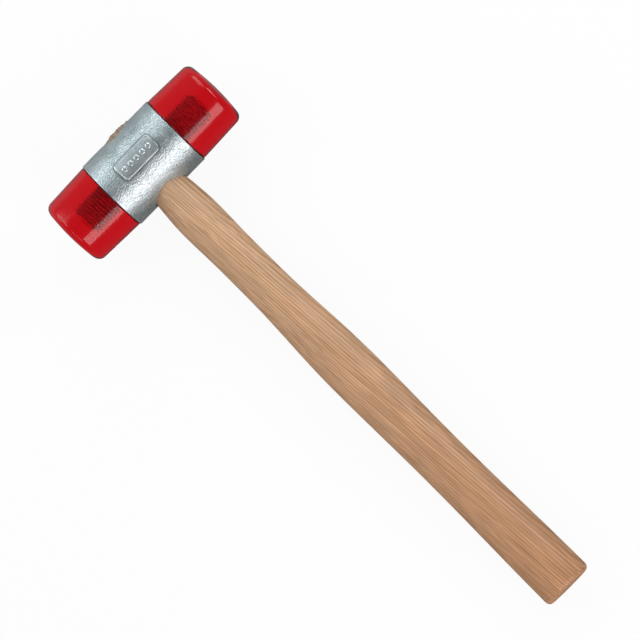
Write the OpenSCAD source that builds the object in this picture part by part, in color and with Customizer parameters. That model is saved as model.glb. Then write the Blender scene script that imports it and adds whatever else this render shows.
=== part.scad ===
// Soft face hammer, lying on a bench. X runs along the head through both striking faces,
// Y runs up the handle to the head, and Z is up. Every size is in millimetres.
// The cast housing carries a wedged ash handle in its cross eye. At each end a clear plastic face
// sits on a steel stud, and the two of them screw into the housing together.

/* [Head housing] */
// Outside diameter of the cast housing
housing_d = 41; // [36:0.5:50]
// Length of the housing from one face seat to the other
housing_l = 46.5; // [40:0.5:64]
// Chamfer on the rim of each face seat
seat_chamfer = 0.6; // [0.2:0.1:2]
// Diameter of the handle eye at its lower mouth
eye_d = 20.5; // [15:0.25:23]
// How much wider the eye is at the top of the head, where the wedges spread the tenon
eye_flare = 1.2; // [0.2:0.1:3]
// Depth of the flared stretch of the eye below the top of the head
eye_flare_depth = 14; // [6:0.5:18]
// Chamfer round the lower mouth of the eye
mouth_chamfer = 0.8; // [0.2:0.1:1.6]

/* [Raised panel] */
// Length of the framed panel along the head
panel_l = 24; // [14:0.5:32]
// Width of the framed panel round the head
panel_w = 10.8; // [7:0.2:16]
// Outer corner radius of the frame
panel_r = 2.2; // [1.6:0.1:3.2]
// Width of the raised frame line
panel_line = 1.1; // [0.5:0.1:1.5]
// Height of the frame above the housing
panel_relief = 0.45; // [0.2:0.05:1.2]

/* [Striking faces] */
// Diameter of a face where it seats on the housing
face_d = 40; // [34:0.5:50]
// Diameter that the straight taper of a face would reach at its end
face_end_d = 38; // [32:0.5:44]
// Length of a face from its seat to the crown
face_l = 29; // [26:0.5:45]
// Radius of the rounded edge between the side and the crown
face_edge_r = 4.2; // [1.5:0.1:7]
// Radius of the crowned striking surface
face_crown_r = 120; // [60:5:300]
// Chamfer on the edge that meets the housing
face_chamfer = 0.4; // [0.2:0.1:2]

/* [Face studs] */
// Outside diameter of the stud's thread
stud_d = 12; // [6:0.5:14]
// Length of stud that stands out of the housing into a face
stud_reach = 17.3; // [10:0.1:20]
// Chamfer on each end of a stud
stud_chamfer = 1.1; // [0.4:0.1:2]
// Gap between a stud's inner end and the handle's eye
stud_setback = 1.5; // [0.5:0.1:3]
// Depth of the tapped hole in a face past the end of the stud
tap_runout = 1.3; // [0.5:0.1:2.5]

/* [Handle] */
// Length of the handle from the head's axis to the butt
handle_l = 300; // [240:5:360]
// How much stouter the neck is than the eye that it enters
neck_step = 0.1; // [0.1:0.1:2]
// Width of the swell below the neck
shoulder_w = 23.4; // [21:0.1:28]
// Thickness of the swell below the neck
shoulder_t = 21.6; // [18:0.1:26]
// Width of the waist
waist_w = 22.4; // [18:0.1:27]
// Thickness of the waist
waist_t = 19.4; // [15:0.1:25]
// Width of the belly, where the fingers close
belly_w = 26.8; // [22:0.1:34]
// Thickness of the belly
belly_t = 21.6; // [17:0.1:30]
// Width of the slimmer grip between the belly and the butt
grip_w = 25.5; // [21:0.1:32]
// Thickness of the slimmer grip
grip_t = 20.4; // [16:0.1:28]
// Width of the flared butt
butt_w = 27.4; // [23:0.1:36]
// Thickness of the flared butt
butt_t = 22.4; // [18:0.1:32]
// Length of the rounding at the butt, along the handle
butt_round = 3; // [1:0.1:6]
// How far the rounding draws the butt's flat end in from its sides
butt_inset = 2.4; // [1:0.1:5]

/* [Wedging] */
// How far the sawn tenon end lies below the top of the housing
tenon_inset = 1.2; // [0:0.1:2]
// Depth of the sawn kerf below the wooden wedge
kerf_spare = 3; // [1:0.5:6]
// Length of the wooden wedge
wedge_l = 22; // [14:0.5:30]
// Thickness of the wooden wedge at the tenon's end
wedge_t = 3.2; // [2:0.1:4.5]
// Thickness of the wooden wedge at its tip
wedge_tip_t = 1; // [0.6:0.1:1.6]
// Inside diameter of the ring wedge
ring_bore = 8; // [6:0.1:10]
// Wall of the ring wedge at the tenon's end
ring_wall = 1.4; // [0.9:0.1:2]
// Wall of the ring wedge at its driven edge
ring_edge = 0.5; // [0.3:0.1:0.8]
// Length of the ring wedge
ring_l = 11; // [7:0.5:13]

/* [Hidden] */
$fn = 96;

// Play between wood and what it is driven into, and round a screw thread
wood_fit = 0.05;
thread_fit = 0.05;
// Length by which every cut runs past the face it opens, and every joined shape laps its neighbour
overrun = 2;

// Sides and lengthwise steps of the handle's lofted skin
loft_sides = 44;
loft_steps = 40;
butt_steps = 5;
// Places of the named sections, as shares of the free handle from the mouth of the eye to the butt
place_shares = [0, 0.077, 0.163, 0.227, 0.463, 0.692, 1];

housing_r = housing_d / 2;
seat_x = housing_l / 2;
flare_y = housing_r - eye_flare_depth;
tenon_y = housing_r - tenon_inset;
mouth_y = housing_r + wood_fit;
free_l = handle_l - mouth_y;
neck_d = eye_d + neck_step;
ring_r = ring_bore / 2;
// Place of the head's centre: the whole hammer is centred on Y and rests on the bench
head_y = (handle_l - housing_r) / 2;
head_z = housing_r;

// Radius of the eye at a height along the handle's axis
function eye_r(y) = eye_d / 2 + (y > flare_y ? eye_flare / 2 * (y - flare_y) / eye_flare_depth : 0);

// The rounded edge of a face is an arc that touches both its taper and its crown
face_r = face_d / 2;
taper_angle = atan((face_d - face_end_d) / 2 / face_l);
crown_y = face_l - face_crown_r;
edge_start = [face_r - face_edge_r * cos(taper_angle), -face_edge_r * sin(taper_angle) - crown_y];
edge_along = edge_start * [-sin(taper_angle), cos(taper_angle)];
edge_up = -edge_along + sqrt(edge_along * edge_along - edge_start * edge_start
    + (face_crown_r - face_edge_r) * (face_crown_r - face_edge_r));
edge_centre = edge_start + edge_up * [-sin(taper_angle), cos(taper_angle)] + [0, crown_y];
edge_turn = atan2(edge_centre[0], edge_centre[1] - crown_y);
edge_low = edge_centre + face_edge_r * [cos(taper_angle), sin(taper_angle)];
edge_high = edge_centre + face_edge_r * [sin(edge_turn), cos(edge_turn)];

// Widths and thicknesses of the handle's named sections, from the neck to the butt
section_widths = [neck_d, shoulder_w, waist_w, waist_w, belly_w, grip_w, butt_w];
section_thicks = [neck_d, shoulder_t, waist_t, waist_t, belly_t, grip_t, butt_t];

module at_head() {
    translate([0, head_y, head_z]) children();
}

module along_x() {
    rotate([0, 90, 0]) children();
}

module along_y() {
    rotate([-90, 0, 0]) children();
}

module rounded_plate(l, w, r) {
    square([l - 2 * r, w], center = true);
    square([l, w - 2 * r], center = true);
    for (sx = [-1, 1], sy = [-1, 1]) {
        translate([sx * (l / 2 - r), sy * (w / 2 - r)]) circle(r);
    }
}

// The drum of the casting, with a chamfered rim at each seat
module housing_drum() {
    along_x() rotate_extrude() polygon([
        [0, -seat_x],
        [housing_r - seat_chamfer, -seat_x],
        [housing_r, -seat_x + seat_chamfer],
        [housing_r, seat_x - seat_chamfer],
        [housing_r - seat_chamfer, seat_x],
        [0, seat_x]
    ]);
}

// A frame that follows the drum's curve and stands a little proud of it
module panel_frame() {
    root_z = sqrt(housing_r * housing_r - panel_w * panel_w / 4) - panel_line;
    intersection() {
        along_x() cylinder(r = housing_r + panel_relief, h = housing_l, center = true);
        translate([0, 0, root_z]) linear_extrude(housing_r - root_z + overrun) difference() {
            rounded_plate(panel_l, panel_w, panel_r);
            rounded_plate(panel_l - 2 * panel_line, panel_w - 2 * panel_line, panel_r - panel_line);
        }
    }
}

// The cross eye: straight at the lower mouth, flared at the top, with an eased lower mouth
module eye_cut() {
    along_y() rotate_extrude() polygon([
        [0, -housing_r - overrun],
        [eye_r(0) + mouth_chamfer + overrun, -housing_r - overrun],
        [eye_r(0), -housing_r + mouth_chamfer],
        [eye_r(0), flare_y],
        [eye_r(housing_r + overrun), housing_r + overrun],
        [0, housing_r + overrun]
    ]);
}

module head_housing() {
    color("#aab0b1") at_head() difference() {
        union() {
            housing_drum();
            panel_frame();
        }
        eye_cut();
        for (side = [-1, 1]) {
            along_x() translate([0, 0, side * (seat_x + eye_d / 4) / 2])
                cylinder(d = stud_d + 2 * thread_fit, h = seat_x - eye_d / 4 + overrun, center = true);
        }
    }
}

// Outline of a face: its tapered side, the arc of its rounded edge and the arc of its crown
module face_outline() {
    polygon([
        [0, 0],
        [face_r - face_chamfer, 0],
        [face_r - face_chamfer * tan(taper_angle), face_chamfer],
        edge_low,
        edge_centre,
        edge_high,
        [0, edge_high[1]]
    ]);
    intersection() {
        translate(edge_centre) circle(face_edge_r);
        polygon([
            edge_centre,
            edge_centre + overrun * (edge_low - edge_centre),
            edge_centre + overrun * (edge_low + edge_high - 2 * edge_centre),
            edge_centre + overrun * (edge_high - edge_centre)
        ]);
    }
    intersection() {
        translate([0, crown_y]) circle(face_crown_r);
        polygon([[0, edge_high[1]], edge_high, [edge_high[0], face_l + overrun], [0, face_l + overrun]]);
    }
}

// One face standing on its seat along X, with the flat-bottomed tapped hole for its stud
module face_solid() {
    along_x() difference() {
        rotate_extrude() face_outline();
        translate([0, 0, -overrun])
            cylinder(d = stud_d + 2 * thread_fit, h = stud_reach + tap_runout + overrun);
    }
}

module striking_face_left() {
    color("#c4101c") at_head() mirror([1, 0, 0]) translate([seat_x, 0, 0]) face_solid();
}

module striking_face_right() {
    color("#c4101c") at_head() translate([seat_x, 0, 0]) face_solid();
}

// One stud along X, from its seat beside the eye to its end inside a face
module stud_solid() {
    inner_x = eye_d / 2 + stud_setback;
    outer_x = seat_x + stud_reach;
    along_x() rotate_extrude() polygon([
        [0, inner_x],
        [stud_d / 2 - stud_chamfer, inner_x],
        [stud_d / 2, inner_x + stud_chamfer],
        [stud_d / 2, outer_x - stud_chamfer],
        [stud_d / 2 - stud_chamfer, outer_x],
        [0, outer_x]
    ]);
}

module face_stud_left() {
    color("#7d8084") at_head() mirror([1, 0, 0]) stud_solid();
}

module face_stud_right() {
    color("#7d8084") at_head() stud_solid();
}

// Section of the handle at a share of its free length, each span eased into the next
function span_of(p) = max([for (k = [0 : len(place_shares) - 2]) if (p >= place_shares[k]) k]);
function eased(k, t) = k == 0 ? sin(90 * t) : (1 - cos(180 * t)) / 2;
function at_share(list, p) =
    let (k = span_of(p), t = (p - place_shares[k]) / (place_shares[k + 1] - place_shares[k]))
    list[k] + (list[k + 1] - list[k]) * eased(k, t);
function section_ring(p, inset, y) =
    let (a = at_share(section_widths, p) / 2 - inset, b = at_share(section_thicks, p) / 2 - inset)
    [for (i = [0 : loft_sides - 1]) let (q = 360 * i / loft_sides) [a * cos(q), y, b * sin(q)]];

// The shaped handle below the head, lofted through its sections, with a rounded butt
module handle_loft() {
    straight_share = 1 - butt_round / free_l;
    body_rings = [for (i = [0 : loft_steps]) let (p = straight_share * i / loft_steps)
        section_ring(p, 0, -mouth_y - p * free_l)];
    butt_rings = [for (i = [1 : butt_steps]) let (q = 90 * i / butt_steps,
        p = straight_share + (1 - straight_share) * sin(q))
        section_ring(p, butt_inset * (1 - cos(q)), -mouth_y - p * free_l)];
    rings = concat(body_rings, butt_rings);
    last = len(rings) - 1;
    skin = [for (i = [0 : last - 1], j = [0 : loft_sides - 1])
        let (a = i * loft_sides, b = a + loft_sides, k = (j + 1) % loft_sides)
        each [[b + j, b + k, a + k], [b + j, a + k, a + j]]];
    top_end = [for (j = [0 : loft_sides - 1]) j];
    butt_end = [for (j = [loft_sides - 1 : -1 : 0]) last * loft_sides + j];
    polyhedron(points = [for (r = rings) each r], faces = concat(skin, [top_end, butt_end]));
}

// The turned tenon that fills the eye, spread at its top as the wedges leave it
module tenon_envelope(lower_y) {
    along_y() rotate_extrude() polygon([
        [0, lower_y],
        [eye_r(0) - wood_fit, lower_y],
        [eye_r(0) - wood_fit, flare_y],
        [eye_r(tenon_y) - wood_fit, tenon_y],
        [0, tenon_y]
    ]);
}

// Wedge outline across the kerf, swelled by the given play, running along X
module wedge_prism(play, spare, above) {
    half_top = wedge_t / 2 + play;
    half_tip = wedge_tip_t / 2 + play;
    tip_y = tenon_y - wedge_l;
    rotate([90, 0, 90]) linear_extrude(2 * eye_r(tenon_y) + overrun, center = true) polygon([
        [tenon_y + above, -half_top],
        [tenon_y + above, half_top],
        [tenon_y, half_top],
        [tip_y, half_tip],
        [tip_y - spare, half_tip],
        [tip_y - spare, -half_tip],
        [tip_y, -half_tip],
        [tenon_y, -half_top]
    ]);
}

// The ring wedge's groove, or with no play the ring itself
module ring_solid(play, above) {
    low_y = tenon_y - ring_l;
    along_y() rotate_extrude() polygon([
        [ring_r - play, low_y - play],
        [ring_r + ring_edge + play, low_y - play],
        [ring_r + ring_wall + play, tenon_y],
        [ring_r + ring_wall + play, tenon_y + above],
        [ring_r - play, tenon_y + above]
    ]);
}

module handle() {
    color("#d3ac7b") at_head() difference() {
        union() {
            tenon_envelope(-mouth_y - overrun);
            handle_loft();
        }
        wedge_prism(0, kerf_spare, overrun);
        ring_solid(wood_fit, overrun);
    }
}

module wooden_wedge() {
    color("#c39a66") at_head() difference() {
        intersection() {
            wedge_prism(-wood_fit, 0, 0);
            tenon_envelope(-mouth_y);
        }
        ring_solid(wood_fit, overrun);
    }
}

module ring_wedge() {
    color("#8a8d90") at_head() ring_solid(0, 0);
}

head_housing();
striking_face_left();
striking_face_right();
face_stud_left();
face_stud_right();
handle();
wooden_wedge();
ring_wedge();
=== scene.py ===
"""Soft face hammer: a galvanised cast head with two clear red screw-in faces, on a wedged ash handle."""
import math

import bpy
from mathutils import Matrix, Vector


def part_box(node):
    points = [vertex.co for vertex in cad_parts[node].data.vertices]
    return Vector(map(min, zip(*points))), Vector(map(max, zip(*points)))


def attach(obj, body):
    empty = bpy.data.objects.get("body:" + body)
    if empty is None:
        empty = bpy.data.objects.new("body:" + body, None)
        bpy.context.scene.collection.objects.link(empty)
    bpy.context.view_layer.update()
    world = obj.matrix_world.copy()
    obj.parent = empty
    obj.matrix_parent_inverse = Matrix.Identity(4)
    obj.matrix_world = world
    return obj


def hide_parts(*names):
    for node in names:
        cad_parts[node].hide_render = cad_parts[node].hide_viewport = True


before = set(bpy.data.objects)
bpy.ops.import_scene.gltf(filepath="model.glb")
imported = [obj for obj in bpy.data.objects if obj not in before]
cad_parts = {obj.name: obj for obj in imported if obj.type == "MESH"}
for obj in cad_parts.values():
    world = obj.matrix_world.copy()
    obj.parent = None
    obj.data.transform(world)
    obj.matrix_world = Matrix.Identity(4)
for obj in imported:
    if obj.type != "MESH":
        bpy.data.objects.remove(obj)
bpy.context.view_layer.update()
MM = 0.001

# HEAD HOUSING
# One iron casting: a short drum with a round cross eye for the handle and a tapped hole in each end.
# It is galvanised after casting, so zinc covers its sandy skin, and it has a framed panel on its front.
low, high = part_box("head_housing")
drum_r = (high.y - low.y) / 2
seat_x = high.x
head = Vector((0, (low.y + high.y) / 2, low.z + drum_r))
seat_chamfer = 0.6 * MM
eye_r, eye_flare, mouth_ease = 10.25 * MM, 0.6 * MM, 0.8 * MM
flare_y = drum_r - 14 * MM
stud_hole_r = 6.05 * MM
overrun = 2 * MM  # how far each cut runs past the piece


def take_up(piece):
    """Selects one piece alone and makes it the active one."""
    bpy.ops.object.select_all(action="DESELECT")
    piece.select_set(True)
    bpy.context.view_layer.objects.active = piece


def drawn_out(name, axis, rings, sides=128):
    """Draws a round or oval solid out of a disc, ring by ring, and returns it. A ring is its place along
    the axis, its half width and its half height, from the head's centre. A last ring of size 0 is a point."""
    bpy.ops.object.select_all(action="DESELECT")
    bpy.ops.mesh.primitive_circle_add(
        vertices=sides, radius=1, fill_type="NGON",
        rotation=(0, math.pi / 2, 0) if axis == "X" else (math.pi / 2, 0, 0),
    )
    piece = bpy.context.object
    piece.name = piece.data.name = name
    bpy.ops.object.transform_apply(rotation=True)
    bpy.ops.object.mode_set(mode="EDIT")
    bpy.ops.mesh.select_all(action="SELECT")
    was = None
    for along, a, b in rings:
        at = head + (Vector((along, 0, 0)) if axis == "X" else Vector((0, along, 0)))
        if was is None:
            grown = (1, a, b) if axis == "X" else (a, 1, b)
            bpy.ops.transform.resize(value=grown, center_override=(0, 0, 0))
            bpy.ops.transform.translate(value=at)
        else:
            bpy.ops.mesh.extrude_region_move(TRANSFORM_OT_translate={"value": at - was[0]})
            if a == 0:
                bpy.ops.mesh.merge(type="COLLAPSE")
                break
            p, q = a / was[1], b / was[2]
            grown = (1, p, q) if axis == "X" else (p, 1, q)
            bpy.ops.transform.resize(value=grown, center_override=at)
        was = (at, a, b)
    bpy.ops.mesh.select_all(action="SELECT")
    bpy.ops.mesh.normals_make_consistent(inside=False)
    bpy.ops.object.mode_set(mode="OBJECT")
    return piece


def worked(piece, tool, how="DIFFERENCE"):
    """Cuts a solid with another one, joins them, or keeps what they share, and clears the tool away."""
    step = piece.modifiers.new(how.lower(), "BOOLEAN")
    step.operation, step.solver, step.object = how, "MANIFOLD", tool
    bpy.context.view_layer.objects.active = piece
    bpy.ops.object.modifier_apply(modifier=step.name)
    bpy.data.objects.remove(tool)


def smoothed(piece, degrees):
    """Shades a finished piece smooth, with every edge sharper than the angle left crisp."""
    take_up(piece)
    bpy.ops.object.shade_smooth_by_angle(angle=math.radians(degrees))


rim_steps = ((0, 1), (0.88, 0.12), (1, 0.02), (1.12, 0))  # inward and down, in chamfers
rim = [(share * seat_chamfer, drum_r - drop * seat_chamfer) for share, drop in rim_steps]
left_rim = [(x - seat_x, r, r) for x, r in rim]
right_rim = [(seat_x - x, r, r) for x, r in reversed(rim)]
barrel_end, barrel_steps = seat_x - 1.5 * seat_chamfer, 10
barrel = [(barrel_end * i / barrel_steps, drum_r, drum_r) for i in range(-barrel_steps, barrel_steps + 1)]
housing = drawn_out("galvanised_housing", "X", left_rim + barrel + right_rim, 192)

# The frame is a rounded plate with its middle taken out, raised in soft steps and laid round the drum
frame_l, frame_w, frame_corner, frame_line = 24 * MM, 10.8 * MM, 2.2 * MM, 1.1 * MM
frame_relief, frame_depth, frame_strip = 0.45 * MM, 1 * MM, 0.7 * MM
frame_steps, steps_rise = ((0.1, 0.2), (0.1, 0.14), (0.12, 0.06)), 0.4 * MM  # inward and up, in millimetres
bpy.ops.object.select_all(action="DESELECT")
bpy.ops.mesh.primitive_plane_add(size=1, location=(head.x, head.y, head.z + drum_r - frame_depth))
panel = bpy.context.object
panel.scale = (frame_l, frame_w, 1)
bpy.ops.object.transform_apply(location=True, scale=True)
bpy.ops.object.mode_set(mode="EDIT")
bpy.ops.mesh.select_all(action="SELECT")
bpy.ops.mesh.bevel(offset=frame_corner, offset_type="OFFSET", segments=10, affect="VERTICES")
bpy.ops.mesh.select_all(action="SELECT")
bpy.ops.mesh.inset(thickness=frame_line, depth=0)
bpy.ops.mesh.delete(type="FACE")
for i in range(-4, 4):
    bpy.ops.mesh.select_all(action="SELECT")
    bpy.ops.mesh.bisect(plane_co=(head.x, head.y + (i + 0.5) * frame_strip, head.z), plane_no=(0, 1, 0))
bpy.ops.mesh.select_all(action="SELECT")
bpy.ops.mesh.extrude_region_move(
    TRANSFORM_OT_translate={"value": (0, 0, frame_depth + frame_relief - steps_rise)})
for drawn_in, raised in frame_steps:
    bpy.ops.mesh.inset(thickness=drawn_in * MM, depth=raised * MM)
bpy.ops.mesh.select_all(action="SELECT")
bpy.ops.mesh.normals_make_consistent(inside=False)
bpy.ops.object.mode_set(mode="OBJECT")
for v in panel.data.vertices:
    v.co.z -= drum_r - math.sqrt(drum_r ** 2 - (v.co.y - head.y) ** 2)
worked(housing, panel, "UNION")

# A plain row of round pips fills the frame
pip_r, pip_pitch, pip_relief, pip_depth = 1.5 * MM, 4.1 * MM, 0.45 * MM, 2 * MM
pip_steps, pip_dome = ((0.14, 0.16), (0.2, 0.12), (0.3, 0.06), (0.4, 0.02)), 0.36 * MM
pip_z = head.z + drum_r + pip_relief - pip_dome - pip_depth / 2
for i in range(-2, 3):
    bpy.ops.object.select_all(action="DESELECT")
    bpy.ops.mesh.primitive_cylinder_add(
        vertices=40, radius=pip_r, depth=pip_depth, location=(head.x + i * pip_pitch, head.y, pip_z))
    pip = bpy.context.object
    bpy.ops.object.transform_apply(location=True)
    bpy.ops.object.mode_set(mode="EDIT")
    bpy.ops.mesh.select_all(action="DESELECT")
    bpy.ops.object.mode_set(mode="OBJECT")
    for f in pip.data.polygons:
        f.select = f.normal.z > 0.9
    bpy.ops.object.mode_set(mode="EDIT")
    for drawn_in, raised in pip_steps:
        bpy.ops.mesh.inset(thickness=drawn_in * MM, depth=0)
        bpy.ops.transform.translate(value=(0, 0, raised * MM))
    bpy.ops.object.mode_set(mode="OBJECT")
    worked(housing, pip, "UNION")

# The eye is eased at its lower mouth and flares towards the top of the head. A hole at each end takes a stud.
eye_end = drum_r + overrun
eye_end_r = eye_r + eye_flare * (eye_end - flare_y) / (drum_r - flare_y)
mouth_end_r = eye_r + mouth_ease + overrun
worked(housing, drawn_out("eye_drift", "Y", [
    (-eye_end, mouth_end_r, mouth_end_r),
    (-drum_r + mouth_ease, eye_r, eye_r),
    (flare_y, eye_r, eye_r),
    (eye_end, eye_end_r, eye_end_r),
]))
for side in (-1, 1):
    worked(housing, drawn_out("stud_drill", "X", [
        (side * eye_r / 2, stud_hole_r, stud_hole_r),
        (side * (seat_x + overrun), stud_hole_r, stud_hole_r),
    ], 96))
smoothed(housing, 32)


def linear(colour):
    """The linear colour of an sRGB hex value."""
    parts = [int(colour[i:i + 2], 16) / 255 for i in (1, 3, 5)]
    return tuple(c / 12.92 if c <= 0.04045 else ((c + 0.055) / 1.055) ** 2.4 for c in parts) + (1.0,)


def add(tree, kind, settings=None, **inputs):
    """Adds a node to a material, with its settings, and sets or links its inputs by name or number."""
    made = tree.nodes.new(kind)
    for key, value in (settings or {}).items():
        setattr(made, key, value)
    for key, value in inputs.items():
        socket = made.inputs[int(key[1:]) if key[0] == "_" else key.replace("_", " ")]
        if isinstance(value, bpy.types.NodeSocket):
            tree.links.new(value, socket)
        else:
            socket.default_value = value
    return made


def new_finish(name):
    """A new material, its node tree and its shader."""
    material = bpy.data.materials.new(name)
    material.use_nodes = True
    return material, material.node_tree, material.node_tree.nodes["Principled BSDF"]


def dressed(piece, material):
    """Gives a piece one material in place of any that it had."""
    piece.data.materials.clear()
    piece.data.materials.append(material)


# Galvanised cast iron: the zinc is a soft mirror over sand-cast grain, so it sparkles where light turns to
# dark. Casting sand is about 0.3 mm, and its grain is drawn at twice that, or it would not show.
sand_w, pit_w, cloud_w, grain_h = 0.65 * MM, 0.9 * MM, 7 * MM, 0.25 * MM
zinc, tree, metal = new_finish("galvanised_cast_iron")
spot = add(tree, "ShaderNodeTexCoord").outputs["Object"]
sand = add(tree, "ShaderNodeTexNoise", Vector=spot, Scale=1 / sand_w, Detail=1.5, Roughness=0.5)
pits = add(tree, "ShaderNodeTexVoronoi", Vector=spot, Scale=1 / pit_w)
clouds = add(tree, "ShaderNodeTexNoise", Vector=spot, Scale=1 / cloud_w, Detail=3.0, Roughness=0.5)
bumps = add(tree, "ShaderNodeMath", {"operation": "MULTIPLY_ADD"},
            _0=pits.outputs["Distance"], _1=0.35, _2=sand.outputs["Fac"])
shade = add(tree, "ShaderNodeMath", {"operation": "MULTIPLY_ADD"},
            _0=clouds.outputs["Fac"], _1=0.45, _2=sand.outputs["Fac"])
tones = add(tree, "ShaderNodeValToRGB", Fac=shade.outputs[0])
dark, light = tones.color_ramp.elements
dark.position, dark.color = 0.48, linear("#94a5a8")
light.position, light.color = 0.92, linear("#cfdde0")
gloss = add(tree, "ShaderNodeMapRange", Value=clouds.outputs["Fac"],
            From_Min=0.3, From_Max=0.7, To_Min=0.29, To_Max=0.35)

# The panel is smoother than the drum and carries a painted highlight that makes it paler, and a painted shade
# runs along the foot of its frame
from_head = add(tree, "ShaderNodeVectorMath", {"operation": "SUBTRACT"}, _0=spot, _1=head)
either_side = add(tree, "ShaderNodeVectorMath", {"operation": "ABSOLUTE"}, _0=from_head.outputs[0])
past_core = add(tree, "ShaderNodeVectorMath", {"operation": "SUBTRACT"}, _0=either_side.outputs[0],
                _1=(frame_l / 2 - frame_corner, frame_w / 2 - frame_corner, drum_r * 2))
outside = add(tree, "ShaderNodeVectorMath", {"operation": "MAXIMUM"}, _0=past_core.outputs[0], _1=(0, 0, 0))
reached = add(tree, "ShaderNodeVectorMath", {"operation": "LENGTH"}, _0=outside.outputs[0])
past_panel = add(tree, "ShaderNodeMath", {"operation": "SUBTRACT"},
                 _0=reached.outputs["Value"], _1=frame_corner)
graininess = add(tree, "ShaderNodeMapRange", Value=past_panel.outputs[0],
                 From_Min=0.2 * MM, From_Max=1.6 * MM, To_Min=0.25, To_Max=1.0)
relief = add(tree, "ShaderNodeBump", Height=bumps.outputs[0], Strength=graininess.outputs["Result"],
             Distance=grain_h)
place = add(tree, "ShaderNodeSeparateXYZ", Vector=spot)
front = add(tree, "ShaderNodeMath", {"operation": "GREATER_THAN"}, _0=place.outputs["Z"], _1=head.z)
# Painted highlight: the front of the panel is mixed towards a pale blue-white, in place of the glints of
# light on it
plate = add(tree, "ShaderNodeMapRange", Value=past_panel.outputs[0],
            From_Min=0.3 * MM, From_Max=-0.3 * MM, To_Max=0.4)
panel_highlight_amount = add(tree, "ShaderNodeMath", {"operation": "MULTIPLY"},
               _0=plate.outputs["Result"], _1=front.outputs[0])
panel_highlight = add(tree, "ShaderNodeMix", {"data_type": "RGBA"}, Factor=panel_highlight_amount.outputs[0],
            _6=tones.outputs["Color"], _7=linear("#e6f1f4"))
# Painted shade: a dark grey line is mixed in along the foot of the frame, where its walls meet the drum
foot = add(tree, "ShaderNodeMath", {"operation": "COMPARE"},
           _0=past_panel.outputs[0], _1=0.2 * MM, _2=0.3 * MM)
frame_foot_shade = add(tree, "ShaderNodeMath", {"operation": "MULTIPLY"}, _0=foot.outputs[0], _1=front.outputs[0])
frame_foot_shade_amount = add(tree, "ShaderNodeMath", {"operation": "MULTIPLY"}, _0=frame_foot_shade.outputs[0], _1=0.4)
outlined = add(tree, "ShaderNodeMix", {"data_type": "RGBA"}, Factor=frame_foot_shade_amount.outputs[0],
               _6=panel_highlight.outputs[2], _7=linear("#4d5658"))

# Painted shade: the turned rims at the seats are coloured near-black, for the shadow in the joint with each
# face
from_middle = add(tree, "ShaderNodeMath", {"operation": "ABSOLUTE"}, _0=place.outputs["X"])
joint_shade_mask = add(tree, "ShaderNodeMath", {"operation": "COMPARE"}, _0=from_middle.outputs[0],
           _1=seat_x - 0.46 * seat_chamfer, _2=0.44 * seat_chamfer)
turned = add(tree, "ShaderNodeMix", {"data_type": "RGBA"}, Factor=joint_shade_mask.outputs[0],
             _6=outlined.outputs[2], _7=linear("#1f1e1e"))
tree.links.new(turned.outputs[2], metal.inputs["Base Color"])
tree.links.new(gloss.outputs["Result"], metal.inputs["Roughness"])
tree.links.new(relief.outputs["Normal"], metal.inputs["Normal"])
metal.inputs["Metallic"].default_value = 0.75
dressed(housing, zinc)
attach(housing, "hammer")
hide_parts("head_housing")

# HANDLE
# Straight-grained ash, turned and sanded: a round tenon through the eye, then an oval neck, waist, belly and
# butt. The tenon is sawn off at the top of the head after wedging, and the wood is lightly varnished.
wood_fit, shoulder = 0.05 * MM, 0.4 * MM
tenon_y = drum_r - 1.2 * MM
mouth_y = drum_r + wood_fit
free_l = 300 * MM - mouth_y
butt_round, butt_inset = 3 * MM, 2.4 * MM
sections = [  # share of the free length, width, thickness
    (0, 20.6 * MM, 20.6 * MM),
    (0.077, 23.4 * MM, 21.6 * MM),
    (0.163, 22.4 * MM, 19.4 * MM),
    (0.227, 22.4 * MM, 19.4 * MM),
    (0.463, 26.8 * MM, 21.6 * MM),
    (0.692, 25.5 * MM, 20.4 * MM),
    (1, 27.4 * MM, 22.4 * MM),
]


def handle_section(share):
    """Half width and half thickness of the handle at a share of its free length."""
    k = max(i for i in range(len(sections) - 1) if share >= sections[i][0])
    (s0, w0, t0), (s1, w1, t1) = sections[k], sections[k + 1]
    t = (share - s0) / (s1 - s0)
    eased = math.sin(math.pi / 2 * t) if k == 0 else (1 - math.cos(math.pi * t)) / 2
    return (w0 + (w1 - w0) * eased) / 2, (t0 + (t1 - t0) * eased) / 2


top_r = eye_r + eye_flare * (tenon_y - flare_y) / (drum_r - flare_y) - wood_fit
neck_r = eye_r - wood_fit
sawn_steps, grip_steps, butt_steps = 14, 60, 8
sawn_rings = [(tenon_y, top_r * i / sawn_steps, top_r * i / sawn_steps) for i in range(1, sawn_steps + 1)]
tenon_rings = [(flare_y, neck_r, neck_r), (-mouth_y + shoulder, neck_r, neck_r)]
straight = 1 - butt_round / free_l
shares = [straight * i / grip_steps for i in range(grip_steps + 1)]
grip_rings = [(-mouth_y - p * free_l, *handle_section(p)) for p in shares]
butt_rings = []
for i in range(1, butt_steps + 1):
    q = math.pi / 2 * i / butt_steps
    p = straight + (1 - straight) * math.sin(q)
    a, b = handle_section(min(p, 1))
    drawn_in = butt_inset * (1 - math.cos(q))
    butt_rings.append((-mouth_y - p * free_l, a - drawn_in, b - drawn_in))
butt_y, a, b = butt_rings[-1]
flat_rings = [(butt_y, a * s, b * s) for s in (0.8, 0.5, 0.2)]
handle = drawn_out("ash_handle", "Y", sawn_rings + tenon_rings + grip_rings + butt_rings + flat_rings, 96)

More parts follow.
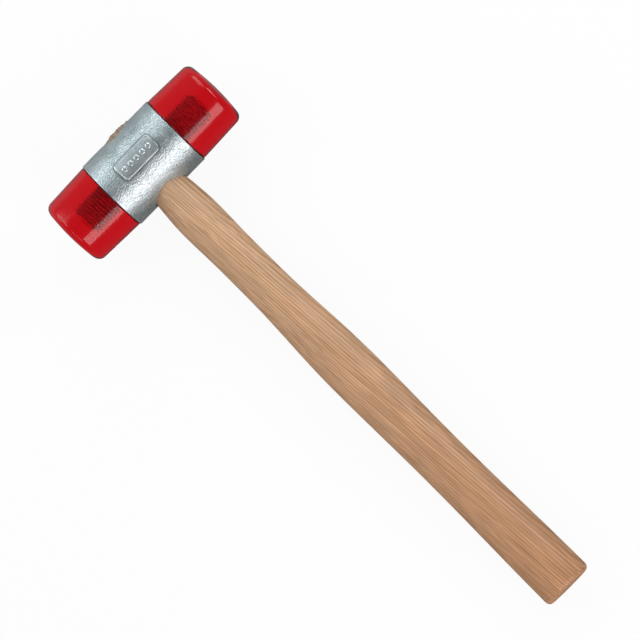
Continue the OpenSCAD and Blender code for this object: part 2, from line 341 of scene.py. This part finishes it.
# The saw leaves the tenon's end ragged and a little aslant
saw_rough, saw_lean = 0.42 * MM, math.radians(-3)
end_y = head.y + tenon_y - 0.1 * MM  # what lies past this is the tenon's end
take_up(handle)
for v in handle.data.vertices:
    v.select = v.co.y > end_y
for e in handle.data.edges:
    e.select = all(handle.data.vertices[i].select for i in e.vertices)
for f in handle.data.polygons:
    f.select = all(handle.data.vertices[i].select for i in f.vertices)
bpy.ops.object.mode_set(mode="EDIT")
bpy.ops.transform.vertex_random(offset=saw_rough, uniform=0, normal=1, seed=5)
bpy.ops.transform.rotate(value=saw_lean, orient_axis="Z", center_override=head + Vector((0, tenon_y, 0)))
bpy.ops.mesh.quads_convert_to_tris()
bpy.ops.object.mode_set(mode="OBJECT")

# The kerf and the ring's groove are cut by the wedges themselves, drawn on past the tenon's end
weld = 0.001 * MM
for name in ("wooden_wedge", "ring_wedge"):
    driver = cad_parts[name].copy()
    driver.data = driver.data.copy()
    driver.parent = None
    bpy.context.scene.collection.objects.link(driver)
    take_up(driver)
    bpy.ops.object.mode_set(mode="EDIT")
    bpy.ops.mesh.select_all(action="SELECT")
    bpy.ops.mesh.remove_doubles(threshold=weld)
    bpy.ops.mesh.select_all(action="DESELECT")
    bpy.ops.object.mode_set(mode="OBJECT")
    for v in driver.data.vertices:
        v.select = v.co.y > end_y
    bpy.ops.object.mode_set(mode="EDIT")
    bpy.ops.transform.translate(value=(0, overrun, 0))
    bpy.ops.object.mode_set(mode="OBJECT")
    worked(handle, driver)
smoothed(handle, 40)

# Ash: pale latewood between narrow bands of open pores, long straight fibres, and a thin satin varnish.
# Its pores are about 0.25 mm wide, and are drawn wider, or they would not show.
ash, tree, wood = new_finish("varnished_ash")
upright = add(tree, "ShaderNodeTexCoord").outputs["Object"]
spot = add(tree, "ShaderNodeVectorRotate", {"rotation_type": "Z_AXIS"}, Vector=upright,
           Angle=math.radians(-4)).outputs["Vector"]
grain = {}
for name, width, length, detail, roughness in (
    ("wander", 16 * MM, 160 * MM, 2.0, 0.5),
    ("pores", 0.42 * MM, 11 * MM, 2.0, 0.55),
    ("fibres", 0.9 * MM, 38 * MM, 4.0, 0.6),
    ("hairs", 0.8 * MM, 30 * MM, 1.0, 0.5),
):
    along = add(tree, "ShaderNodeMapping", Vector=spot, Scale=(1 / width, 1 / length, 1 / width))
    noise = add(tree, "ShaderNodeTexNoise", Vector=along.outputs[0],
                Scale=1.0, Detail=detail, Roughness=roughness)
    grain[name] = noise.outputs["Fac"]

# The pith lies far to the left, so the year rings cross the handle as long, nearly straight bands
pith_aside, pith_below, year_w = 110 * MM, 8 * MM, 1.3 * MM
pith = add(tree, "ShaderNodeMapping", Vector=spot, Location=(pith_aside, 0, pith_below), Scale=(1, 0.012, 1))
from_pith = add(tree, "ShaderNodeVectorMath", {"operation": "LENGTH"}, _0=pith.outputs[0])
rings = add(tree, "ShaderNodeMath", {"operation": "MULTIPLY_ADD"},
            _0=from_pith.outputs["Value"], _1=1 / year_w, _2=grain["wander"])
year = add(tree, "ShaderNodeMath", {"operation": "FRACT"}, _0=rings.outputs[0])
early = add(tree, "ShaderNodeValToRGB", Fac=year.outputs[0])
spring, winter = early.color_ramp.elements
spring.position, spring.color = 0.0, (1, 1, 1, 1)
winter.position, winter.color = 1.0, (0.25, 0.25, 0.25, 1)
early.color_ramp.elements.new(0.42).color = (0, 0, 0, 1)
open_pores = add(tree, "ShaderNodeMapRange", Value=grain["pores"], From_Min=0.49, From_Max=0.6)
grooves = add(tree, "ShaderNodeMath", {"operation": "MULTIPLY"},
              _0=open_pores.outputs["Result"], _1=early.outputs["Color"])

# The wood is paler at the neck than at the butt, with fine streaks and hairs along it
xyz = add(tree, "ShaderNodeSeparateXYZ", Vector=upright)
toward_butt = add(tree, "ShaderNodeMapRange", Value=xyz.outputs["Y"], From_Min=110 * MM, From_Max=-160 * MM)
pale = add(tree, "ShaderNodeMix", {"data_type": "RGBA"}, Factor=toward_butt.outputs["Result"],
           _6=linear("#d0ab87"), _7=linear("#b78c67"))
warm = add(tree, "ShaderNodeMix", {"data_type": "RGBA"}, Factor=toward_butt.outputs["Result"],
           _6=linear("#ba8f69"), _7=linear("#a1734e"))
band = add(tree, "ShaderNodeMix", {"data_type": "RGBA"}, Factor=early.outputs["Color"],
           _6=pale.outputs[2], _7=warm.outputs[2])
streak = add(tree, "ShaderNodeMapRange", Value=grain["fibres"],
             From_Min=0.3, From_Max=0.7, To_Min=0.88, To_Max=1.1)
hair = add(tree, "ShaderNodeMapRange", Value=grain["hairs"],
           From_Min=0.3, From_Max=0.7, To_Min=0.82, To_Max=1.22)
lines = add(tree, "ShaderNodeMath", {"operation": "MULTIPLY"},
            _0=streak.outputs["Result"], _1=hair.outputs["Result"])
fibred = add(tree, "ShaderNodeVectorMath", {"operation": "SCALE"}, _0=band.outputs[2], Scale=lines.outputs[0])
pored = add(tree, "ShaderNodeMix", {"data_type": "RGBA"}, Factor=grooves.outputs[0],
            _6=fibred.outputs[0], _7=linear("#98683d"))

# The tenon's sawn end is bare and has grey smears
sawn_end = add(tree, "ShaderNodeMapRange", Value=xyz.outputs["Y"],
               From_Min=head.y + 16 * MM, From_Max=head.y + 18 * MM)
smears = add(tree, "ShaderNodeTexNoise", Vector=upright, Scale=1 / (1.1 * MM), Detail=2.0, Roughness=0.6)
smear = add(tree, "ShaderNodeMapRange", Value=smears.outputs["Fac"],
            From_Min=0.38, From_Max=0.62, To_Min=0.4, To_Max=1.0)
soiled = add(tree, "ShaderNodeMath", {"operation": "MULTIPLY"},
             _0=sawn_end.outputs["Result"], _1=smear.outputs["Result"])
worn = add(tree, "ShaderNodeMix", {"data_type": "RGBA"}, Factor=soiled.outputs[0],
           _6=pored.outputs[2], _7=linear("#7c7066"))
satin = add(tree, "ShaderNodeMapRange", Value=grain["fibres"],
            From_Min=0.3, From_Max=0.7, To_Min=0.4, To_Max=0.52)
dents = add(tree, "ShaderNodeBump", {"invert": True}, Height=grooves.outputs[0],
            Strength=0.6, Distance=0.04 * MM)
tree.links.new(worn.outputs[2], wood.inputs["Base Color"])
tree.links.new(satin.outputs["Result"], wood.inputs["Roughness"])
tree.links.new(dents.outputs["Normal"], wood.inputs["Normal"])
dressed(handle, ash)
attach(handle, "hammer")
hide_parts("handle")

# WOODEN WEDGE
# A split hardwood wedge driven into the tenon's saw kerf, then sawn off with the tenon.
# Its end shows as a darker bar across the tenon.
fleck_w, fleck_l, split_h = 0.5 * MM, 8 * MM, 0.08 * MM

# Beech: short brown flecks along the split, rough and without varnish
beech, tree, wood = new_finish("split_beech")
spot = add(tree, "ShaderNodeTexCoord").outputs["Object"]
along = add(tree, "ShaderNodeMapping", Vector=spot, Scale=(1 / fleck_w, 1 / fleck_l, 1 / fleck_w))
flecks = add(tree, "ShaderNodeTexNoise", Vector=along.outputs[0], Scale=1.0, Detail=3.0, Roughness=0.6)
tones = add(tree, "ShaderNodeValToRGB", Fac=flecks.outputs["Fac"])
dark, light = tones.color_ramp.elements
dark.position, dark.color = 0.35, linear("#8a5f3b")
light.position, light.color = 0.68, linear("#b98a5c")
rough = add(tree, "ShaderNodeBump", Height=flecks.outputs["Fac"], Strength=0.5, Distance=split_h)
tree.links.new(tones.outputs["Color"], wood.inputs["Base Color"])
tree.links.new(rough.outputs["Normal"], wood.inputs["Normal"])
wood.inputs["Roughness"].default_value = 0.7
dressed(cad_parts["wooden_wedge"], beech)

# RING WEDGE
# A ring of rolled steel with a sharp lower edge, driven into the tenon's end over the wooden wedge.
# It stays as it was cut, grey with hammer dents and a little rust.
dent_w, dent_h = 1.2 * MM, 0.08 * MM

# Rolled steel: grey where it is bare, and duller and brown where it rusts
rolled, tree, metal = new_finish("rolled_steel")
spot = add(tree, "ShaderNodeTexCoord").outputs["Object"]
scale = add(tree, "ShaderNodeTexNoise", Vector=spot, Scale=1 / dent_w, Detail=4.0, Roughness=0.65)
tones = add(tree, "ShaderNodeValToRGB", Fac=scale.outputs["Fac"])
dark, light = tones.color_ramp.elements
dark.position, dark.color = 0.36, linear("#6d6259")
light.position, light.color = 0.62, linear("#a2a6a9")
dull = add(tree, "ShaderNodeMapRange", Value=scale.outputs["Fac"],
           From_Min=0.35, From_Max=0.65, To_Min=0.6, To_Max=0.34)
dents = add(tree, "ShaderNodeBump", Height=scale.outputs["Fac"], Strength=0.5, Distance=dent_h)
tree.links.new(tones.outputs["Color"], metal.inputs["Base Color"])
tree.links.new(dull.outputs["Result"], metal.inputs["Roughness"])
tree.links.new(dents.outputs["Normal"], metal.inputs["Normal"])
metal.inputs["Metallic"].default_value = 1.0
dressed(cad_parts["ring_wedge"], rolled)

# FACE STUDS
# Two steel studs with a rolled M12 thread, 1.75 mm a turn, chamfered at both ends. Each is held fast in its
# face and screws into the housing, and its thread shows as a dark core through the clear plastic.
stud_r = 6 * MM
pitch = 1.75 * MM
root_r = stud_r - 0.6134 * pitch
crest_flat, flank = pitch / 8, (stud_r - root_r) * math.tan(math.radians(30))
root_flat = pitch - crest_flat - 2 * flank
stud_chamfer, stud_clear = 1.1 * MM, 0.3 * MM
stud_in = eye_r + 1.5 * MM
stud_out = seat_x + 17.3 * MM
turns = math.ceil((stud_out - stud_in) / pitch) + 2


def threaded_rod(name, grown):
    """A rod with a helical thread that runs past both ends of a stud, grown all round by the given clearance.
    One tooth is drawn point by point, swept round the axis, and closed at both ends."""
    near = 0.01 * MM
    bpy.ops.object.select_all(action="DESELECT")
    bpy.ops.mesh.primitive_plane_add(size=1)
    rod = bpy.context.object
    rod.name = rod.data.name = name
    bpy.ops.object.mode_set(mode="EDIT")
    bpy.ops.mesh.merge(type="CENTER")
    bpy.ops.transform.translate(value=(0, 0, root_r + grown))
    tooth = ((root_flat, 0), (flank, stud_r - root_r), (crest_flat, 0), (flank, root_r - stud_r))
    for onward, outward in tooth:
        bpy.ops.mesh.extrude_vertices_move(TRANSFORM_OT_translate={"value": (onward, 0, outward)})
    bpy.ops.object.mode_set(mode="OBJECT")
    helix = rod.modifiers.new("helix", "SCREW")
    helix.axis, helix.angle, helix.screw_offset = "X", 2 * math.pi, pitch
    helix.iterations, helix.steps, helix.render_steps = turns, 48, 48
    bpy.ops.object.modifier_apply(modifier=helix.name)
    bpy.ops.object.mode_set(mode="EDIT")
    bpy.ops.mesh.select_all(action="SELECT")
    bpy.ops.mesh.remove_doubles(threshold=weld)
    for x0, x1 in ((0, pitch), (turns * pitch, (turns + 1) * pitch)):
        bpy.ops.mesh.select_all(action="DESELECT")
        bpy.ops.object.mode_set(mode="OBJECT")
        for v in rod.data.vertices:
            v.select = abs(v.co.y) < near < v.co.z and x0 - near < v.co.x < x1 + near
        bpy.ops.object.mode_set(mode="EDIT")
        bpy.ops.mesh.edge_face_add()
    bpy.ops.mesh.select_all(action="DESELECT")
    bpy.ops.mesh.select_non_manifold()
    bpy.ops.mesh.edge_face_add()
    bpy.ops.mesh.select_all(action="SELECT")
    bpy.ops.mesh.normals_make_consistent(inside=False)
    bpy.ops.transform.translate(value=head + Vector((stud_in - pitch, 0, 0)))
    bpy.ops.object.mode_set(mode="OBJECT")
    return rod


def left_copy(piece, name):
    """Copies a piece from the right end of the head and turns the copy half round, to the left end."""
    copied = piece.copy()
    copied.data = piece.data.copy()
    copied.name = copied.data.name = name
    bpy.context.scene.collection.objects.link(copied)
    take_up(copied)
    bpy.ops.object.mode_set(mode="EDIT")
    bpy.ops.mesh.select_all(action="SELECT")
    bpy.ops.transform.rotate(value=math.pi, orient_axis="Z", center_override=head)
    bpy.ops.object.mode_set(mode="OBJECT")
    return copied


# Rolled steel under a film of thread grease, so it is pale and dull and scatters light more than it mirrors
steel, tree, metal = new_finish("rolled_stud_steel")
spot = add(tree, "ShaderNodeTexCoord").outputs["Object"]
oil = add(tree, "ShaderNodeTexNoise", Vector=spot, Scale=1 / (3 * MM), Detail=4.0, Roughness=0.6)
tones = add(tree, "ShaderNodeValToRGB", Fac=oil.outputs["Fac"])
dark, light = tones.color_ramp.elements
dark.position, dark.color = 0.35, linear("#c4c2c0")
light.position, light.color = 0.65, linear("#e2e0de")
dull = add(tree, "ShaderNodeMapRange", Value=oil.outputs["Fac"],
           From_Min=0.35, From_Max=0.65, To_Min=0.85, To_Max=0.7)
tree.links.new(tones.outputs["Color"], metal.inputs["Base Color"])
tree.links.new(dull.outputs["Result"], metal.inputs["Roughness"])
metal.inputs["Metallic"].default_value = 0.05

right_stud = threaded_rod("threaded_stud_right", 0)
point_r, clear_r = stud_r - stud_chamfer, stud_r + stud_clear
worked(right_stud, drawn_out("stud_ends", "X", [
    (stud_in, point_r, point_r),
    (stud_in + clear_r - point_r, clear_r, clear_r),
    (stud_out - clear_r + point_r, clear_r, clear_r),
    (stud_out, point_r, point_r),
], 64), "INTERSECT")
dressed(right_stud, steel)
left_stud = left_copy(right_stud, "threaded_stud_left")
for stud, side in ((right_stud, "right"), (left_stud, "left")):
    smoothed(stud, 35)
    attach(stud, side + "_stud")
    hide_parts("face_stud_" + side)

# STRIKING FACES
# Two clear red cellulose plastic faces, turned and polished, with a slight taper, a rounded edge and a
# crowned end. The flat-bottomed tapped hole grips the stud's thread and leaves a little air past its end.
face_r, face_end_r, face_l = 20 * MM, 19 * MM, 29 * MM
edge_r, crown_r, face_chamfer = 4.2 * MM, 120 * MM, 0.4 * MM
hole_r, hole_l, hole_corner = 4.6 * MM, 18.6 * MM, 0.5 * MM
tap_l, tap_lead, thread_grip, seat_gap = 17.9 * MM, 1 * MM, 0.03 * MM, 0.03 * MM
taper = math.atan((face_r - face_end_r) / face_l)
crown_at = face_l - crown_r
start = Vector((face_r - edge_r * math.cos(taper), -edge_r * math.sin(taper) - crown_at))
lean = Vector((-math.sin(taper), math.cos(taper)))
run = -start.dot(lean) + math.sqrt(start.dot(lean) ** 2 - start.dot(start) + (crown_r - edge_r) ** 2)
corner = start + run * lean + Vector((0, crown_at))
turn = math.atan2(corner.x, corner.y - crown_at)
arc_steps = 12
profile = [  # radius, height above the seat
    (0.2 * MM, hole_l),
    (hole_r - hole_corner, hole_l),
    (hole_r - 0.3 * hole_corner, hole_l - 0.3 * hole_corner),
    (hole_r, hole_l - hole_corner),
    (hole_r, 0),
    (face_r - face_chamfer, 0),
    (face_r - 0.1 * face_chamfer, 0.9 * face_chamfer),
    (face_r - face_chamfer * math.tan(taper), 1.3 * face_chamfer),
]
for i in range(arc_steps + 1):
    q = turn + (math.pi / 2 - taper - turn) * (1 - i / arc_steps)
    profile.append((corner.x + edge_r * math.sin(q), corner.y + edge_r * math.cos(q)))
for i in range(1, arc_steps + 1):
    q = turn * (1 - i / arc_steps)
    profile.append((crown_r * math.sin(q), crown_at + crown_r * math.cos(q)))

# Cellulose plastic: deep red by its thickness. Handling has taken the full mirror off its polish, so it
# shows the lights softly and a little weaker than new plastic would.
red, tree, clear = new_finish("clear_red_cellulose_plastic")
spot = add(tree, "ShaderNodeTexCoord").outputs["Object"]
waves = add(tree, "ShaderNodeTexNoise", Vector=spot, Scale=1 / (6 * MM), Detail=2.0, Roughness=0.5)
swirl = add(tree, "ShaderNodeBump", Height=waves.outputs["Fac"], Strength=0.25, Distance=0.05 * MM)
haze = add(tree, "ShaderNodeMapRange", Value=waves.outputs["Fac"],
           From_Min=0.3, From_Max=0.7, To_Min=0.12, To_Max=0.17)
tree.links.new(haze.outputs["Result"], clear.inputs["Roughness"])
tree.links.new(swirl.outputs["Normal"], clear.inputs["Normal"])
clear.inputs["Base Color"].default_value = linear("#ed2634")
clear.inputs["IOR"].default_value = 1.46
clear.inputs["Specular Tint"].default_value = (0.65, 0.65, 0.65, 1)
clear.inputs["Transmission Weight"].default_value = 1.0
dye = add(tree, "ShaderNodeVolumeAbsorption", Color=(0.755, 0.11, 0.22, 1), Density=45.0)
tree.links.new(dye.outputs["Volume"], tree.nodes["Material Output"].inputs["Volume"])

right_face = drawn_out("clear_face_right", "X", [(seat_x + seat_gap + h, r, r) for r, h in profile], 160)
tap = threaded_rod("tap", -thread_grip)
worked(tap, drawn_out("tap_reach", "X", [
    (seat_x - tap_lead, face_r / 2, face_r / 2),
    (seat_x + tap_l, face_r / 2, face_r / 2),
], 64), "INTERSECT")
worked(right_face, tap)
dressed(right_face, red)
left_face = left_copy(right_face, "clear_face_left")
for face, side in ((right_face, "right"), (left_face, "left")):
    smoothed(face, 25)
    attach(face, side + "_face")
    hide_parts("striking_face_" + side)

# STAGE
# A pale matt floor, tilted a little so that the drum and the butt both lie on it. It is white to the eye and
# through the plastic, dim in mirrors, and keeps a share of its real light, so that the shadow stays.
floor_lean, floor_drop, floor_share = 0.0312, 0.05 * MM, 0.93
bpy.ops.object.select_all(action="DESELECT")
bpy.ops.mesh.primitive_plane_add(size=8, location=(0, 0, 0))
floor = bpy.context.object
floor.name = floor.data.name = "floor"
floor.rotation_euler = (-math.atan(floor_lean), 0, 0)
floor.location = (0, head.y, -floor_drop)

# Matt white paper, with a painted glow in mirrors that is darker towards the butt than beyond the head
paper, tree, plain = new_finish("matt_white_paper")
tree.nodes.remove(plain)
ray = add(tree, "ShaderNodeLightPath")
seen = add(tree, "ShaderNodeMath", {"operation": "MAXIMUM"},
           _0=ray.outputs["Is Camera Ray"], _1=ray.outputs["Is Transmission Ray"])
seen_share = add(tree, "ShaderNodeMath", {"operation": "MULTIPLY"}, _0=seen.outputs[0], _1=floor_share)
mirrored = add(tree, "ShaderNodeMath", {"operation": "MULTIPLY"},
               _0=ray.outputs["Is Glossy Ray"], _1=floor_share)
matt = add(tree, "ShaderNodeBsdfDiffuse", Color=linear("#ededed"))
sheet = add(tree, "ShaderNodeSeparateXYZ", Vector=add(tree, "ShaderNodeTexCoord").outputs["Object"])
# Painted light: in mirrors the paper shows a glow in place of the light on it, dim towards the butt and
# brighter beyond the head
far = add(tree, "ShaderNodeMapRange", Value=sheet.outputs["Y"],
          From_Min=-40 * MM, From_Max=120 * MM, To_Min=0.07, To_Max=0.42)
grey = add(tree, "ShaderNodeEmission", Color=(1, 1, 1, 1), Strength=far.outputs["Result"])
white = add(tree, "ShaderNodeEmission", Color=(1, 1, 1, 1), Strength=1.0)
painted_mirror_glow = add(tree, "ShaderNodeMixShader", Fac=mirrored.outputs[0], _1=matt.outputs[0], _2=grey.outputs[0])
both = add(tree, "ShaderNodeMixShader", Fac=seen_share.outputs[0], _1=painted_mirror_glow.outputs[0], _2=white.outputs[0])
tree.links.new(both.outputs[0], tree.nodes["Material Output"].inputs["Surface"])
floor.data.materials.append(paper)

# LIGHT
# Two tall soft boxes beyond the head, one to each side so that the faces do not mirror them, a strip box
# towards the butt that does show in the faces, a thin strip along each side of the handle, and a dim room.
world = bpy.data.worlds.new("studio")
bpy.context.scene.world = world
world.use_nodes = True
tree = world.node_tree
air = tree.nodes["Background"]
way = add(tree, "ShaderNodeTexCoord").outputs["Generated"]
sides = add(tree, "ShaderNodeSeparateXYZ", Vector=way)
far = add(tree, "ShaderNodeMapRange", Value=sides.outputs["Y"], From_Min=-1.0, From_Max=1.0)
room = add(tree, "ShaderNodeValToRGB", Fac=far.outputs["Result"])
butt_wall, head_wall = room.color_ramp.elements
butt_wall.position, butt_wall.color = 0.0, (0.14, 0.14, 0.14, 1)
head_wall.position, head_wall.color = 1.0, (0.26, 0.26, 0.26, 1)
for place, level in ((0.4, 0.06), (0.5, 0.07), (0.65, 0.14), (0.8, 0.18), (0.92, 0.24)):
    room.color_ramp.elements.new(place).color = (level, level, level, 1)
ray = add(tree, "ShaderNodeLightPath")
open_sky = add(tree, "ShaderNodeMath", {"operation": "MAXIMUM"},
               _0=room.outputs["Color"], _1=ray.outputs["Is Camera Ray"])
tree.links.new(open_sky.outputs[0], air.inputs["Strength"])
air.inputs["Color"].default_value = (0.97, 0.99, 1.0, 1)
neck = head - Vector((0, 70 * MM, 0))
for name, aim, toward, distance, width, length, watts, colour in (
    ("right_soft_box", head, (0.5, 0.68, 0.54), 1.1, 0.7, 0.9, 6.2, "#fbfdff"),
    ("left_soft_box", head, (-0.5, 0.68, 0.54), 1.1, 0.7, 0.9, 5.8, "#fbfdff"),
    ("butt_strip", head, (-0.036, -0.853, 0.522), 1.1, 0.7, 0.56, 6.8, "#fff2f3"),
    ("right_strip", neck, (0.82, 0, 0.57), 0.7, 0.14, 0.4, 1.3, "#ffffff"),
    ("left_strip", neck, (-0.82, -0.2, 0.57), 0.9, 0.14, 0.6, 0.8, "#ffffff"),
):
    lamp = bpy.data.lights.new(name, "AREA")
    lamp.shape, lamp.size, lamp.size_y, lamp.energy = "RECTANGLE", width, length, watts
    lamp.color = linear(colour)[:3]
    stand = bpy.data.objects.new(name, lamp)
    out = Vector(toward).normalized()
    lengthwise = Vector((0, -out.z, out.y)).normalized()
    stand.location = aim + distance * out
    stand.rotation_euler = Matrix((lengthwise.cross(out), lengthwise, out)).transposed().to_euler()
    bpy.context.scene.collection.objects.link(stand)

# CAMERA
# It looks down on the hammer from 1.7 m, leaning 8.8 degrees towards the butt and 1.9 towards the right face,
# with a long lens, and is rolled so that the handle runs to the lower right.
side_lean, butt_lean, reach = 0.0331, 0.1541, 1700 * MM
aim_right, aim_down = 6.436 * MM, 118.33 * MM  # what it looks at, from the head's centre
roll_cos, roll_sin = 0.7053, 0.7090
sensor_w, focal_px, picture_px = 36, 3387.5, 640
side_cos, side_sin = math.cos(side_lean), math.sin(side_lean)
butt_cos, butt_sin = math.cos(butt_lean), math.sin(butt_lean)
right = Vector((side_cos, 0, -side_sin))
away = Vector((butt_sin * side_sin, butt_cos, butt_sin * side_cos))
back = Vector((butt_cos * side_sin, -butt_sin, butt_cos * side_cos))
lens = bpy.data.cameras.new("camera")
lens.sensor_width, lens.lens = sensor_w, sensor_w * focal_px / picture_px
camera = bpy.data.objects.new("camera", lens)
across = roll_cos * right - roll_sin * away
upward = roll_sin * right + roll_cos * away
at = head + aim_right * right - aim_down * away + reach * back
camera.matrix_world = Matrix((
    (across.x, upward.x, back.x, at.x),
    (across.y, upward.y, back.y, at.y),
    (across.z, upward.z, back.z, at.z),
    (0, 0, 0, 1),
))
bpy.context.scene.collection.objects.link(camera)
bpy.context.scene.camera = camera
bpy.context.scene.view_settings.view_transform = "Standard"
